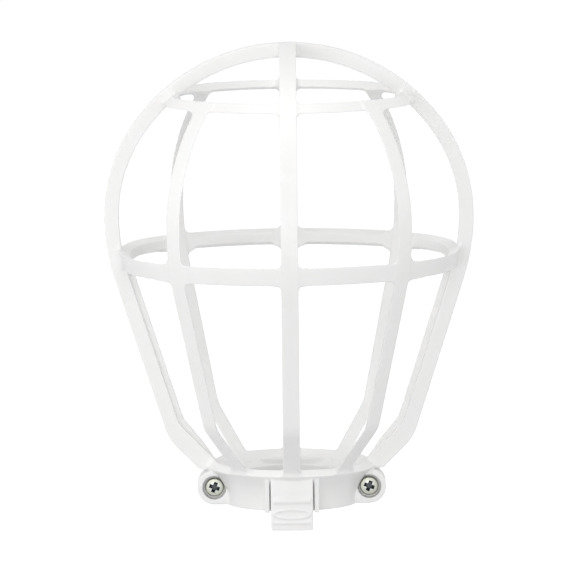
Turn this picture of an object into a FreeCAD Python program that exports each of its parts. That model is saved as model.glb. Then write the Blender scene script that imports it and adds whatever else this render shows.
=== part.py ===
import FreeCAD
import Part
import math
import os

# Bulb cage guard: a moulded cage in two half shells, split on the XZ plane and drawn together
# round a lampholder by two screws. Millimetres, +Z up the lamp axis, -Y towards the front.
# The origin is on the lampholder axis, at the bottom rim of the clamp collar.

V = FreeCAD.Vector

# Lampholder and clamp collar
LAMPHOLDER_R = 18.25
CLAMP_CLEARANCE = 0.1
BORE_LENGTH = 9.0
COLLAR_WALL = 2.3
CLAMP_GAP = 0.6

# Flared foot of the collar, its angle taken from the axis
FLARE_ANGLE = 45.0
FLARE_RIM_R = 24.1
FLARE_RIM_Z = 13.5
FLARE_WALL = 2.8

# Outline of the cage: crown arc, shoulder arc, belly arc, straight cone, knee and foot
BELT_R = 57.6
BELT_Z = 90.5
CROWN_Z = 144.5
SHOULDER_TOP_ANGLE = 34.5
BELLY_ARC_R = 65.0
CONE_ANGLE = 17.87

# Ribs and rings
RIB_DEPTH = 3.6
RIB_FOOT_DEPTH = 2.2
RIB_FOOT_SINK = 0.3
RIB_KNEE_R = 10.0
FRONT_RIB_WIDTH = 5.3
DIAGONAL_RIB_WIDTH = 4.1
DIAGONAL_RIB_ANGLE = 38.2
SIDE_RIB_WIDTH = 5.3
SIDE_RIB_DEPTH = 4.5
SIDE_RIB_FOOT_DEPTH = 5.6
SIDE_RIB_FOOT_PROUD = 2.4
SIDE_RIB_KNEE_R = 16.0
LOCATING_LIP_DEPTH = 1.8
MID_RING_DROP = 13.3
MID_RING_HEIGHT = 5.3
MID_RING_INNER_HEIGHT = 2.4
UPPER_RING_DROP = 16.8
UPPER_RING_HEIGHT = 2.9
RING_SET_IN = 0.15
RING_INNER_SET_IN = 0.45
WINDOW_FILLET = 1.4
CROWN_FILLET = 3.0

# Pegs that line the halves up along the split
PEG_R = 0.9
PEG_LENGTH = 1.6
PEG_CLEARANCE = 0.1

# Screw lugs on the collar
LUG_X = 24.2
LUG_Z = 5.5
LUG_R = 5.3
LUG_DEPTH = 6.3
COUNTERBORE_DEPTH = 3.0
COUNTERBORE_CLEARANCE = 0.8

# Pan-head screws and hexagon nuts
SCREW_R = 1.5
SCREW_HOLE_CLEARANCE = 0.2
SCREW_TIP_PROUD = 0.2
HEAD_R = 2.9
HEAD_HEIGHT = 2.0
HEAD_EDGE_HEIGHT = 0.9
RECESS_HALF_LENGTH = 1.6
RECESS_WIDTH = 0.8
RECESS_DEPTH = 1.1
RECESS_TURN = 20.0
NUT_FLATS = 5.5
NUT_HEIGHT = 2.4
NUT_CLEARANCE = 0.15

# Finger tab in front of the collar, with its two guard ribs
TAB_WIDTH = 13.1
TAB_PROUD = 0.9
TAB_THICKNESS = 1.8
TAB_SLOPE_DROP = 1.8
TAB_BOTTOM_Z = -5.4
TAB_ROOT_DROP = 4.3
TAB_CORNER_R = 0.6
GUARD_RIB_WIDTH = 1.0
GUARD_RIB_GAP = 0.85
GUARD_RIB_SET_BACK = 1.5
GUARD_RIB_BOTTOM_Z = 0.5
GRIP_LENGTH = 11.4
UPPER_GRIP_Z = 3.9
UPPER_GRIP_R = 1.1
UPPER_GRIP_PROUD = 0.6
LOWER_GRIP_Z = -2.9
LOWER_GRIP_R = 0.6
LOWER_GRIP_PROUD = 0.35
OVAL_Z = -0.25
OVAL_HALF_LENGTH = 5.9
OVAL_HALF_HEIGHT = 1.7
OVAL_LINE = 0.6
OVAL_PROUD = 0.4

# Flat pad on the rear inside of the flare
PAD_WIDTH = 21.4
PAD_HEIGHT = 2.1
PAD_CORNER_R = 1.2

# Worked-out places. A line along the flare is named by its radius at the height of the origin.
BORE_R = LAMPHOLDER_R + CLAMP_CLEARANCE
COLLAR_R = BORE_R + COLLAR_WALL
FLARE_SLOPE = math.tan(math.radians(FLARE_ANGLE))
FLARE_SPREAD = 1 / math.cos(math.radians(FLARE_ANGLE))
FLARE_INNER = FLARE_RIM_R - FLARE_SLOPE * FLARE_RIM_Z
FLARE_OUTER = FLARE_INNER + FLARE_WALL * FLARE_SPREAD
RIB_FOOT_INNER = FLARE_INNER - RIB_FOOT_SINK * FLARE_SPREAD
RIB_FOOT_OUTER = RIB_FOOT_INNER + RIB_FOOT_DEPTH * FLARE_SPREAD
RIB_FOOT_Z = FLARE_RIM_Z - FLARE_WALL
SIDE_FOOT_OUTER = FLARE_OUTER + SIDE_RIB_FOOT_PROUD * FLARE_SPREAD
SIDE_FOOT_INNER = SIDE_FOOT_OUTER - SIDE_RIB_FOOT_DEPTH * FLARE_SPREAD
COLLAR_TOP_Z = (COLLAR_R - FLARE_OUTER) / FLARE_SLOPE
LUG_TOP_Z = LUG_Z + LUG_R
TAB_REACH = FLARE_RIM_R + TAB_PROUD
TAB_ROOT_Z = FLARE_RIM_Z - TAB_ROOT_DROP
TAB_SLOPE_Z = TAB_ROOT_Z - TAB_SLOPE_DROP
GUARD_RIB_REACH = FLARE_RIM_R - GUARD_RIB_SET_BACK
PAD_TOP_Z = BORE_LENGTH + PAD_HEIGHT
RING_DEPTH = RIB_DEPTH - RING_SET_IN - RING_INNER_SET_IN
REACH = BELT_R + CROWN_Z
WINDOW_END_Y = -SIDE_RIB_WIDTH / 4
MID_RING_Z = BELT_Z - MID_RING_DROP
UPPER_RING_Z = CROWN_Z - UPPER_RING_DROP
BELLY_X = BELT_R - BELLY_ARC_R
CONE_SLOPE = math.tan(math.radians(CONE_ANGLE))

# A band as tall as a ring and this much more holds the rounded corners where leaning ribs meet it.
EAR_RISE = 1.5 * WINDOW_FILLET

# The shoulder and crown arcs run into each other at the shoulder's top angle. Their centres lie
# apart, along that angle, by what the dome's half width exceeds its rise.
SHOULDER_TOP_COS = math.cos(math.radians(SHOULDER_TOP_ANGLE))
SHOULDER_TOP_SIN = math.sin(math.radians(SHOULDER_TOP_ANGLE))
DOME_RISE = CROWN_Z - BELT_Z
DOME_CENTRES = (BELT_R - DOME_RISE) / (SHOULDER_TOP_SIN + SHOULDER_TOP_COS - 1)
SHOULDER_X = DOME_CENTRES * SHOULDER_TOP_COS
SHOULDER_ARC_R = BELT_R - SHOULDER_X
CROWN_ARC_R = DOME_RISE + DOME_CENTRES * SHOULDER_TOP_SIN
CROWN_ARC_Z = CROWN_Z - CROWN_ARC_R
SEAT_Y = -LUG_DEPTH + COUNTERBORE_DEPTH
NUT_SEAT_Y = LUG_DEPTH - NUT_HEIGHT - SCREW_TIP_PROUD


def turn(angle):
    """Unit direction in the XZ plane, at an angle above +X."""
    a = math.radians(angle)
    return V(math.cos(a), 0, math.sin(a))


def arc(centre, radius, start, end):
    """Arc in the XZ plane between two angles."""
    middle = (start + end) / 2
    points = [centre + turn(a) * radius for a in (start, middle, end)]
    return Part.Arc(*points).toShape()


def line(start, end):
    return Part.LineSegment(start, end).toShape()


def box(x0, x1, y0, y1, z0, z1):
    return Part.makeBox(x1 - x0, y1 - y0, z1 - z0, V(x0, y0, z0))


def y_cylinder(radius, x, z, y0, y1):
    return Part.makeCylinder(radius, y1 - y0, V(x, y0, z), V(0, 1, 0))


def polygon_face(points):
    return Part.Face(Part.makePolygon(points + points[:1]))


def mirror_x(shape):
    return shape.mirror(V(), V(1, 0, 0))


def near(a, b):
    return abs(a - b) < 1e-6


def edges_where(shape, test):
    """Edges whose two end points both pass a test."""
    return [e for e in shape.Edges if len(e.Vertexes) == 2 and all(test(v.Point) for v in e.Vertexes)]


def half_turn(face):
    """Revolve a face of the XZ plane through the front half of the circle."""
    return face.revolve(V(), V(0, 0, 1), -180)


def flare_r(z, flare_line):
    """Radius at a height of a line along the flare."""
    return FLARE_SLOPE * z + flare_line


def knee_centre(depth, foot_line, radius):
    """Centre of the rounded knee between the cone at a depth and a line along the flare."""
    cone_r = BELLY_X + (BELLY_ARC_R - depth) * math.cos(math.radians(CONE_ANGLE))
    cone_z = BELT_Z - (BELLY_ARC_R - depth) * math.sin(math.radians(CONE_ANGLE))
    corner_z = (cone_r - CONE_SLOPE * cone_z - foot_line) / (FLARE_SLOPE - CONE_SLOPE)
    corner = V(flare_r(corner_z, foot_line), 0, corner_z)
    half_bend = math.radians(FLARE_ANGLE - CONE_ANGLE) / 2
    inward = turn(180 - (CONE_ANGLE + FLARE_ANGLE) / 2)
    return corner + inward * (radius / math.cos(half_bend))


def cage_edges(depth, foot_line, knee_r, foot_z, top_angle=90):
    """Edges of the cage outline at a depth below its surface, from an angle of the crown to the foot."""
    shoulder = V(SHOULDER_X, 0, BELT_Z)
    belly = V(BELLY_X, 0, BELT_Z)
    belly_arc_r = BELLY_ARC_R - depth
    knee = knee_centre(depth, foot_line, knee_r)
    cone_side = turn(-CONE_ANGLE)
    foot_side = turn(-FLARE_ANGLE)
    return [
        arc(V(0, 0, CROWN_ARC_Z), CROWN_ARC_R - depth, top_angle, SHOULDER_TOP_ANGLE),
        arc(shoulder, SHOULDER_ARC_R - depth, SHOULDER_TOP_ANGLE, 0),
        arc(belly, belly_arc_r, 0, -CONE_ANGLE),
        line(belly + cone_side * belly_arc_r, knee + cone_side * knee_r),
        arc(knee, knee_r, -CONE_ANGLE, -FLARE_ANGLE),
        line(knee + foot_side * knee_r, V(flare_r(foot_z, foot_line), 0, foot_z)),
    ]


def section_between(outer, inner):
    """Face in the XZ plane between two outlines."""
    ends = [
        line(outer[0].Vertexes[0].Point, inner[0].Vertexes[0].Point),
        line(outer[-1].Vertexes[-1].Point, inner[-1].Vertexes[-1].Point),
    ]
    return Part.Face(Part.Wire(Part.__sortEdges__(outer + inner + ends)))


def radial_rib(section, half_width, angle):
    """Rib of a section, drawn out to both sides of a half plane at an angle from the front towards +X."""
    rib = section.translated(V(0, -half_width, 0)).extrude(V(0, 2 * half_width, 0))
    rib.rotate(V(), V(0, 0, 1), angle - 90)
    return rib


def crown_ball(radius):
    """Ball of the crown's arc, turned so that its poles and seam lie off the crown."""
    ball = Part.makeSphere(radius, V(0, 0, CROWN_ARC_Z), V(1, 0, 0))
    ball.rotate(V(0, 0, CROWN_ARC_Z), V(1, 0, 0), 180)
    return ball


def seen_edge(edge):
    """Line or arc of the outline as the front view shows it on a diagonal rib."""
    span = (edge.FirstParameter, (edge.FirstParameter + edge.LastParameter) / 2, edge.LastParameter)
    squeeze = math.sin(math.radians(DIAGONAL_RIB_ANGLE))
    seen = [V(p.x * squeeze, 0, p.z) for p in map(edge.valueAt, span)]
    if isinstance(edge.Curve, Part.Line):
        return line(seen[0], seen[2])
    return Part.Arc(*seen).toShape()


def diagonal_prism(width):
    """Front view of a diagonal rib: the cage outline seen at its angle, drawn out along Y."""
    top_rise = UPPER_RING_Z + UPPER_RING_HEIGHT - CROWN_ARC_Z
    top_angle = math.degrees(math.asin(top_rise / CROWN_ARC_R))
    edges = cage_edges(0, RIB_FOOT_OUTER, RIB_KNEE_R, 0, top_angle)
    outline = Part.Wire([seen_edge(e) for e in edges])
    half = V(width / 2, 0, 0)
    left = outline.translated(-half)
    right = outline.translated(half)
    ends = [
        line(left.OrderedVertexes[0].Point, right.OrderedVertexes[0].Point),
        line(left.OrderedVertexes[-1].Point, right.OrderedVertexes[-1].Point),
    ]
    wire = Part.Wire(Part.__sortEdges__(left.Edges + right.Edges + ends))
    return Part.Face(wire).extrude(V(0, -REACH, 0))


def corner_edges(cutter, z0, z1):
    """Edges of a window cutter that become the rounded corners of the window."""
    edges = edges_where(cutter, lambda p: abs(p.x) < BELT_R and (near(p.z, z0) or near(p.z, z1)))
    return [e for e in edges if not near(e.Vertexes[0].Y, e.Vertexes[1].Y)]


def window_cutters(z0, z1, ribs):
    """Rounded cutters that open the windows of one tier between its ribs."""
    slab = box(-REACH, REACH, -REACH, WINDOW_END_Y, z0, z1)
    cutters = []
    for solid in slab.cut(ribs).Solids:
        cutters.append(solid.makeFillet(WINDOW_FILLET, corner_edges(solid, z0, z1)))
    return cutters


def crown_cutter(z0):
    """Rounded cutter for the window beside the front rib above the upper ring."""
    x0 = FRONT_RIB_WIDTH / 2
    cutter = box(x0, REACH, -REACH, WINDOW_END_Y, z0, REACH)
    corner = edges_where(cutter, lambda p: near(p.x, x0) and near(p.y, WINDOW_END_Y))
    return cutter.makeFillet(CROWN_FILLET, corner)


def belly_r(z):
    """Radius of the cage at a height on the belly arc."""
    return BELLY_X + math.sqrt(BELLY_ARC_R**2 - (BELT_Z - z) ** 2)


def crown_r(z):
    """Radius of the cage at a height on the crown arc."""
    return math.sqrt(CROWN_ARC_R**2 - (z - CROWN_ARC_Z) ** 2)


def ring_band(low, high, radius_at):
    """Half band of the cage wall between two heights, set in a little from the ribs."""
    rise = V(radius_at(high) - radius_at(low), 0, high - low)
    lean = rise.Length / rise.z
    outer = V(radius_at(low) - RING_SET_IN * lean, 0, low)
    inner = outer - V(RING_DEPTH * lean, 0, 0)
    return half_turn(polygon_face([outer, outer + rise, inner + rise, inner]))


def ring_bevels(low, high, ribs):
    """Sloping upper and lower faces of the middle ring, which thins towards the inside."""
    fall = (MID_RING_HEIGHT - MID_RING_INNER_HEIGHT) / 2
    cutters = []
    for z, side in ((low, 1), (high, -1)):
        edge = V(belly_r(z), 0, z)
        inside = edge - V(2 * RIB_DEPTH, 0, 0)
        sloped = inside + V(0, 0, 2 * side * fall)
        cutters.append(half_turn(polygon_face([edge, inside, sloped])).cut(ribs))
    return cutters


def rib_views(extra):
    """Front views of the front and diagonal ribs, drawn out along Y and widened or narrowed."""
    half = (FRONT_RIB_WIDTH + extra) / 2
    diagonal = diagonal_prism(DIAGONAL_RIB_WIDTH + extra)
    return [box(-half, half, -REACH, 0, -REACH, REACH), diagonal, mirror_x(diagonal)]


def cage_section():
    """Section of the front and diagonal ribs."""
    outer = cage_edges(0, RIB_FOOT_OUTER, RIB_KNEE_R, RIB_FOOT_Z)
    inner = cage_edges(RIB_DEPTH, RIB_FOOT_INNER, RIB_KNEE_R - RIB_FOOT_DEPTH, RIB_FOOT_Z)
    return section_between(outer, inner)


def crown_web(cutters):
    """Rounded corners where the ribs cross at the crown."""
    outside = crown_ball(CROWN_ARC_R - RING_SET_IN)
    inside = crown_ball(CROWN_ARC_R - RIB_DEPTH + RING_SET_IN)
    spread = FRONT_RIB_WIDTH + CROWN_FILLET
    near_axis = box(-spread, spread, -spread, 0, CROWN_ARC_Z, REACH)
    return outside.cut(inside).common(near_axis).cut(cutters)


def ribs_and_rings():
    """Front and diagonal ribs and the two rings of the front half."""
    mid_low = MID_RING_Z - MID_RING_HEIGHT / 2
    mid_high = MID_RING_Z + MID_RING_HEIGHT / 2
    up_low = UPPER_RING_Z - UPPER_RING_HEIGHT / 2
    up_high = UPPER_RING_Z + UPPER_RING_HEIGHT / 2
    cores = rib_views(-2 * RING_SET_IN)
    lower_windows = window_cutters(0, mid_low, cores)
    middle_windows = window_cutters(mid_high, up_low, cores)
    crown = crown_cutter(up_high)
    crown_windows = [crown, mirror_x(crown)]
    bevels = ring_bevels(mid_low, mid_high, rib_views(2 * EAR_RISE))
    mid_ring = ring_band(mid_low - EAR_RISE, mid_high + EAR_RISE, belly_r)
    mid_ring = mid_ring.cut(lower_windows + middle_windows + bevels)
    upper_ring = ring_band(up_low - EAR_RISE, up_high, crown_r).cut(middle_windows)
    section = cage_section()
    front = radial_rib(section, FRONT_RIB_WIDTH / 2, 0)
    below_top = box(-REACH, REACH, -REACH, 0, -REACH, up_high)
    diagonal = radial_rib(section, DIAGONAL_RIB_WIDTH + RIB_DEPTH, DIAGONAL_RIB_ANGLE)
    diagonal = diagonal.common(diagonal_prism(DIAGONAL_RIB_WIDTH)).common(below_top)
    return [front, diagonal, mirror_x(diagonal), mid_ring, upper_ring, crown_web(crown_windows)]


def side_rib():
    """Half-width rib along the split on the +X side, from the crown to its lug."""
    outer = cage_edges(0, SIDE_FOOT_OUTER, SIDE_RIB_KNEE_R, 0)
    inner = cage_edges(SIDE_RIB_DEPTH, SIDE_FOOT_INNER, RIB_KNEE_R, 0)
    above_lug = box(-REACH, REACH, -REACH, REACH, LUG_TOP_Z, REACH)
    return section_between(outer, inner).extrude(V(0, -SIDE_RIB_WIDTH / 2, 0)).common(above_lug)


def collar():
    """Half collar with its flared foot ring."""
    rim = V(FLARE_RIM_R, 0, FLARE_RIM_Z)
    section = polygon_face([
        V(BORE_R, 0, 0),
        V(COLLAR_R, 0, 0),
        V(COLLAR_R, 0, COLLAR_TOP_Z),
        rim + turn(-FLARE_ANGLE) * FLARE_WALL,
        rim,
        V(flare_r(BORE_LENGTH, FLARE_INNER), 0, BORE_LENGTH),
        V(BORE_R, 0, BORE_LENGTH),
    ])
    return half_turn(section)


def lug():
    """Screw lug on the +X side, with its round outer end, clear of the inside of the flare."""
    end = y_cylinder(LUG_R, LUG_X, LUG_Z, -LUG_DEPTH, 0)
    root = box(BORE_R, LUG_X, -LUG_DEPTH, 0, LUG_Z - LUG_R, LUG_TOP_Z)
    funnel_rise = FLARE_RIM_Z - BORE_LENGTH
    funnel = Part.makeCone(flare_r(BORE_LENGTH, FLARE_INNER), FLARE_RIM_R, funnel_rise, V(0, 0, BORE_LENGTH))
    return end.fuse(root).cut(funnel)


def plain_half():
    """The front half shell, as far as it is the mirror of the rear one."""
    right = lug()
    rib = side_rib()
    body = collar().fuse([right, mirror_x(right), rib, mirror_x(rib)] + ribs_and_rings())
    bore = Part.makeCylinder(BORE_R, BORE_LENGTH)
    hole = y_cylinder(SCREW_R + SCREW_HOLE_CLEARANCE, LUG_X, LUG_Z, -REACH, REACH)
    gap = box(BORE_R, REACH, -CLAMP_GAP / 2, CLAMP_GAP / 2, -REACH, COLLAR_TOP_Z)
    cuts = [bore, hole, gap, mirror_x(hole), mirror_x(gap)]
    return body.cut(cuts).removeSplitter()


def finger_tab():
    """Tab that hangs in front of the collar from the flare, with finger grips and a bare oval."""
    front = -TAB_REACH
    back = front + TAB_THICKNESS
    root = -flare_r(TAB_ROOT_Z, FLARE_OUTER)
    sunk = root + FLARE_WALL / 2
    profile = polygon_face([
        V(-TAB_WIDTH / 2, sunk, TAB_ROOT_Z),
        V(-TAB_WIDTH / 2, root, TAB_ROOT_Z),
        V(-TAB_WIDTH / 2, front, TAB_SLOPE_Z),
        V(-TAB_WIDTH / 2, front, TAB_BOTTOM_Z),
        V(-TAB_WIDTH / 2, back, TAB_BOTTOM_Z),
        V(-TAB_WIDTH / 2, back, TAB_SLOPE_Z - TAB_THICKNESS / 2),
        V(-TAB_WIDTH / 2, sunk, TAB_ROOT_Z - TAB_THICKNESS),
    ])
    tab = profile.extrude(V(TAB_WIDTH, 0, 0))
    low = edges_where(tab, lambda p: near(p.z, TAB_BOTTOM_Z))
    corners = [e for e in low if near(e.Vertexes[0].X, e.Vertexes[1].X)]
    tab = tab.makeFillet(TAB_CORNER_R, corners)
    grips = []
    for z, radius, proud in (
        (UPPER_GRIP_Z, UPPER_GRIP_R, UPPER_GRIP_PROUD),
        (LOWER_GRIP_Z, LOWER_GRIP_R, LOWER_GRIP_PROUD),
    ):
        start = V(-GRIP_LENGTH / 2, front + radius - proud, z)
        grips.append(Part.makeCylinder(radius, GRIP_LENGTH, start, V(1, 0, 0)))
    centre = V(0, front + TAB_THICKNESS / 2, OVAL_Z)
    rise = V(0, -OVAL_PROUD - TAB_THICKNESS / 2, 0)
    oval = oval_prism(centre, OVAL_HALF_LENGTH, OVAL_HALF_HEIGHT, rise)
    hollow = oval_prism(centre, OVAL_HALF_LENGTH - OVAL_LINE, OVAL_HALF_HEIGHT - OVAL_LINE, rise)
    return tab.fuse(grips + [oval.cut(hollow)])


def oval_prism(centre, half_length, half_height, rise):
    ellipse = Part.Ellipse(centre + V(half_length, 0, 0), centre + V(0, 0, half_height), centre)
    return Part.Face(Part.Wire(ellipse.toShape())).extrude(rise)


def guard_rib():
    """Upright rib beside the tab, from the flare down to the collar's rim."""
    x0 = TAB_WIDTH / 2 + GUARD_RIB_GAP
    inside = -(COLLAR_R - COLLAR_WALL / 2)
    flare_z = (GUARD_RIB_REACH - FLARE_OUTER) / FLARE_SLOPE
    upright = polygon_face([
        V(x0, inside, GUARD_RIB_BOTTOM_Z),
        V(x0, -GUARD_RIB_REACH, GUARD_RIB_BOTTOM_Z),
        V(x0, -GUARD_RIB_REACH, flare_z + FLARE_WALL),
        V(x0, inside, flare_z),
    ])
    return upright.extrude(V(GUARD_RIB_WIDTH, 0, 0))


def rear_pad():
    """Flat pad in the rear of the flare, level with the back of the bore."""
    half = PAD_WIDTH / 2
    pad = box(-half, half, BORE_R, FLARE_RIM_R, BORE_LENGTH, PAD_TOP_Z)
    corners = edges_where(pad, lambda p: near(p.z, PAD_TOP_Z) and near(abs(p.x), half))
    corners = [e for e in corners if near(e.Vertexes[0].X, e.Vertexes[1].X)]
    pad = pad.makeFillet(PAD_CORNER_R, corners)
    in_wall = (FLARE_INNER + FLARE_OUTER) / 2
    section = polygon_face([
        V(BORE_R, 0, BORE_LENGTH),
        V(flare_r(BORE_LENGTH, in_wall), 0, BORE_LENGTH),
        V(flare_r(PAD_TOP_Z, in_wall), 0, PAD_TOP_Z),
        V(BORE_R, 0, PAD_TOP_Z),
    ])
    return pad.common(section.revolve(V(), V(0, 0, 1), 180))


def locating_lip():
    """Lip inside the rear half's side rib, along the cone from under the ring to the knee."""
    outer = cage_edges(SIDE_RIB_DEPTH / 2, SIDE_FOOT_OUTER, SIDE_RIB_KNEE_R, 0)
    inner = cage_edges(SIDE_RIB_DEPTH + LOCATING_LIP_DEPTH, SIDE_FOOT_INNER, RIB_KNEE_R, 0)
    keep_low = inner[3].Vertexes[-1].Point.z
    keep = box(0, REACH, 0, REACH, keep_low, MID_RING_Z - MID_RING_HEIGHT)
    return section_between(outer, inner).extrude(V(0, SIDE_RIB_WIDTH / 2, 0)).common(keep)


def peg_places():
    """Centres of the pegs on the split: one at the crown and one in each side rib at the ring."""
    crown = V(0, 0, CROWN_Z - SIDE_RIB_DEPTH / 2)
    ring_r = belly_r(MID_RING_Z) - SIDE_RIB_DEPTH / 2
    return [crown, V(ring_r, 0, MID_RING_Z), V(-ring_r, 0, MID_RING_Z)]


def front_half(plain):
    rib = guard_rib()
    body = plain.fuse([finger_tab(), rib, mirror_x(rib)])
    cuts = []
    for side in (1, -1):
        cuts.append(y_cylinder(HEAD_R + COUNTERBORE_CLEARANCE, side * LUG_X, LUG_Z, -LUG_DEPTH, SEAT_Y))
    for place in peg_places():
        depth = PEG_LENGTH + PEG_CLEARANCE
        cuts.append(y_cylinder(PEG_R + PEG_CLEARANCE, place.x, place.z, -depth, 0))
    return body.cut(cuts).removeSplitter()


def hexagon(flats, x, y0, y1):
    corner_r = flats / math.sqrt(3)
    points = [V(x, y0, LUG_Z) + turn(60 * k) * corner_r for k in range(6)]
    return polygon_face(points).extrude(V(0, y1 - y0, 0))


def rear_half(plain):
    body = plain.mirror(V(), V(0, 1, 0))
    lip = locating_lip()
    pegs = [y_cylinder(PEG_R, p.x, p.z, -PEG_LENGTH, PEG_LENGTH) for p in peg_places()]
    body = body.fuse([rear_pad(), lip, mirror_x(lip)] + pegs)
    pockets = [hexagon(NUT_FLATS + 2 * NUT_CLEARANCE, side * LUG_X, NUT_SEAT_Y, REACH) for side in (1, -1)]
    return body.cut(pockets).removeSplitter()


def screw(x):
    """Pan-head screw in its counterbore, with a cross recess in the head."""
    head_front = SEAT_Y - HEAD_HEIGHT
    dome_rise = HEAD_HEIGHT - HEAD_EDGE_HEIGHT
    dome_r = (HEAD_R**2 + dome_rise**2) / (2 * dome_rise)
    dome = Part.makeSphere(dome_r, V(x, head_front + dome_r, LUG_Z))
    head = y_cylinder(HEAD_R, x, LUG_Z, head_front, SEAT_Y).common(dome)
    shank = y_cylinder(SCREW_R, x, LUG_Z, SEAT_Y - HEAD_EDGE_HEIGHT / 2, LUG_DEPTH)
    recess = []
    for quarter in (0, 90):
        slot = box(
            x - RECESS_HALF_LENGTH,
            x + RECESS_HALF_LENGTH,
            head_front,
            head_front + RECESS_DEPTH,
            LUG_Z - RECESS_WIDTH / 2,
            LUG_Z + RECESS_WIDTH / 2,
        )
        slot.rotate(V(x, 0, LUG_Z), V(0, 1, 0), RECESS_TURN + quarter)
        recess.append(slot)
    return head.fuse(shank).cut(recess).removeSplitter()


def nut(x):
    body = hexagon(NUT_FLATS, x, NUT_SEAT_Y, NUT_SEAT_Y + NUT_HEIGHT)
    return body.cut(y_cylinder(SCREW_R, x, LUG_Z, NUT_SEAT_Y, NUT_SEAT_Y + NUT_HEIGHT))


def main():
    os.makedirs("parts", exist_ok=True)
    plain = plain_half()
    pieces = {
        "front_half": front_half(plain),
        "rear_half": rear_half(plain),
        "clamp_screw_left": screw(-LUG_X),
        "clamp_screw_right": screw(LUG_X),
        "clamp_nut_left": nut(-LUG_X),
        "clamp_nut_right": nut(LUG_X),
    }
    for name, shape in pieces.items():
        solids = shape.Solids
        if len(solids) != 1 or not shape.isValid():
            raise RuntimeError(name + " is not one valid solid")
        solids[0].exportStep("parts/" + name + ".step")


main()
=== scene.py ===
import math

import bmesh
import bpy
import numpy
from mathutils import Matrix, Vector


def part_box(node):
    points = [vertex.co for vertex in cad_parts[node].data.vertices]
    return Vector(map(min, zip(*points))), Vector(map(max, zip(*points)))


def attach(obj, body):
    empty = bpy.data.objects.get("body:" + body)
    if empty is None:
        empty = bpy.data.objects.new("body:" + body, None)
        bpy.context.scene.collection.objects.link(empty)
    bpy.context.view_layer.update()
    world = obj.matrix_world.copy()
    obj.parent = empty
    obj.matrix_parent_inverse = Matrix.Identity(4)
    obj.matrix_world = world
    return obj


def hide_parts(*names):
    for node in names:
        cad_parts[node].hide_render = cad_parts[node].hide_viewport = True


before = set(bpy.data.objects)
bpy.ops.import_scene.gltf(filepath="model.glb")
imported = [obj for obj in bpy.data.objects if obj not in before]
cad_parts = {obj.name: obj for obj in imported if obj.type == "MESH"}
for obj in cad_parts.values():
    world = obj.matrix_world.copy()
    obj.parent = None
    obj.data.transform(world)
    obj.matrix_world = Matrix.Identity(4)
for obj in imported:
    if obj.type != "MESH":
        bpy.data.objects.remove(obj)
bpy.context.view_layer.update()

import openvdb
from bpy.props import FloatProperty, FloatVectorProperty, IntProperty, PointerProperty
from mathutils import Matrix, Vector

bl_info = {
    "name": "Bulb Cage Guard",
    "version": (1, 0, 0),
    "blender": (4, 5, 0),
    "location": "View3D > Sidebar > Cage Guard",
    "description": "Finishes the clamp-on bulb cage guard and sets a white studio round it",
    "category": "Object",
}

BODY = "root"
HALVES = ("front_half", "rear_half")
SCREWS = ("clamp_screw_left", "clamp_screw_right")
NUTS = ("clamp_nut_left", "clamp_nut_right")

# Places on the mouldings, in metres in the part's own frame. A place on the collar or a ring is a
# radius and a height, one on the tab or a guard rib a depth and a height, one on the lip a reach
# to the side and a height.
COLLAR_CREASE = (0.02065, 0.00609)
CLAMP_GAP = 0.0006
TAB_HALF_WIDTH = 0.00655
TAB_ROOT = ((-0.025, 0.0074), (-0.02475, 0.0109), (-0.0225, 0.0109), (-0.0225, 0.0074))
GUARD_RIB_SIDES = (0.007, 0.00845)
GUARD_RIB = ((-0.024, 0.0), (-0.024, 0.011), (-0.02, 0.011), (-0.02, 0.0))
RING_SLOPE = ((0.0393, 0.12916), (0.0345, 0.1305), (0.0345, 0.1234))
RIB_HALF_WIDTH = 0.0029
SIDE_RIB_FACE = 0.00266

# Each ring's section on the front and rear halves, the room it is cleared from beside a side rib,
# how far in it is led there and the turn from the rib at which it is back on its circle.
UPPER_RING = ((0.04255, 0.12625), (0.03945, 0.12915), (0.03749, 0.12699), (0.03825, 0.12625))
RING_ENDS = (
    (
        ((0.05552, 0.07485), (0.0567, 0.08045), (0.05323, 0.0787), (0.05267, 0.07585)),
        ((0.05552, 0.07485), (0.0566, 0.07995), (0.05323, 0.0787), (0.05267, 0.07585)),
        ((0.047, 0.0715), (0.06, 0.0715), (0.06, 0.083), (0.047, 0.083)),
        0.00355,
        math.radians(42.0),
    ),
    (
        UPPER_RING,
        UPPER_RING,
        ((0.033, 0.1225), (0.047, 0.1225), (0.047, 0.133), (0.033, 0.133)),
        0.0042,
        math.radians(36.0),
    ),
)
CLEARED_FROM = math.radians(6.0)
SPLIT_TURN = 0.0005
LIP_WIDTH = 0.00265
LIP_END = (
    (0.0349, 0.0304), (0.0341, 0.0279), (0.0333, 0.0261), (0.0321, 0.0246), (0.0277, 0.0193),
    (0.0245, 0.0147), (0.0265, 0.015), (0.0348, 0.0233), (0.0372, 0.028), (0.037, 0.0304),
)

# Steps along the curves of the added forms
BLEND_STEPS = 12
HALF_TURN_STEPS = 120
QUARTER_TURN_STEPS = 48
CLEARED_STEPS = 30

# Proportions of the turned parts. A recess end is a height in recess depths, and shares of the
# recess's reach and width.
CREASE_ANGLE = math.radians(32.0)
THREAD_FLAT = 0.1
THREAD_ROWS = 8
HEAD_TOP = (0.02, 0.25, 0.5, 0.75, 1.0)
HEAD_STEPS = 9
HEAD_DOME = 0.2
HEAD_EDGE = 0.12
HEAD_FACE = 0.72
RECESS_ENDS = ((-1.0, 1.45, 1.3), (1.0, 0.6, 0.75))
NUT_FACE = 0.97
NUT_BORE = 1.02
CHAMFER_STEPS = (0.0, 0.5, 1.0)
NUT_SIDE_SLOPE = 0.5

# Sockets of a Mix node
MIX_FACTOR, FLOAT_A, FLOAT_B, COLOUR_A, COLOUR_B = 0, 2, 3, 6, 7
FLOAT_OUT, COLOUR_OUT = 0, 2

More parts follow.
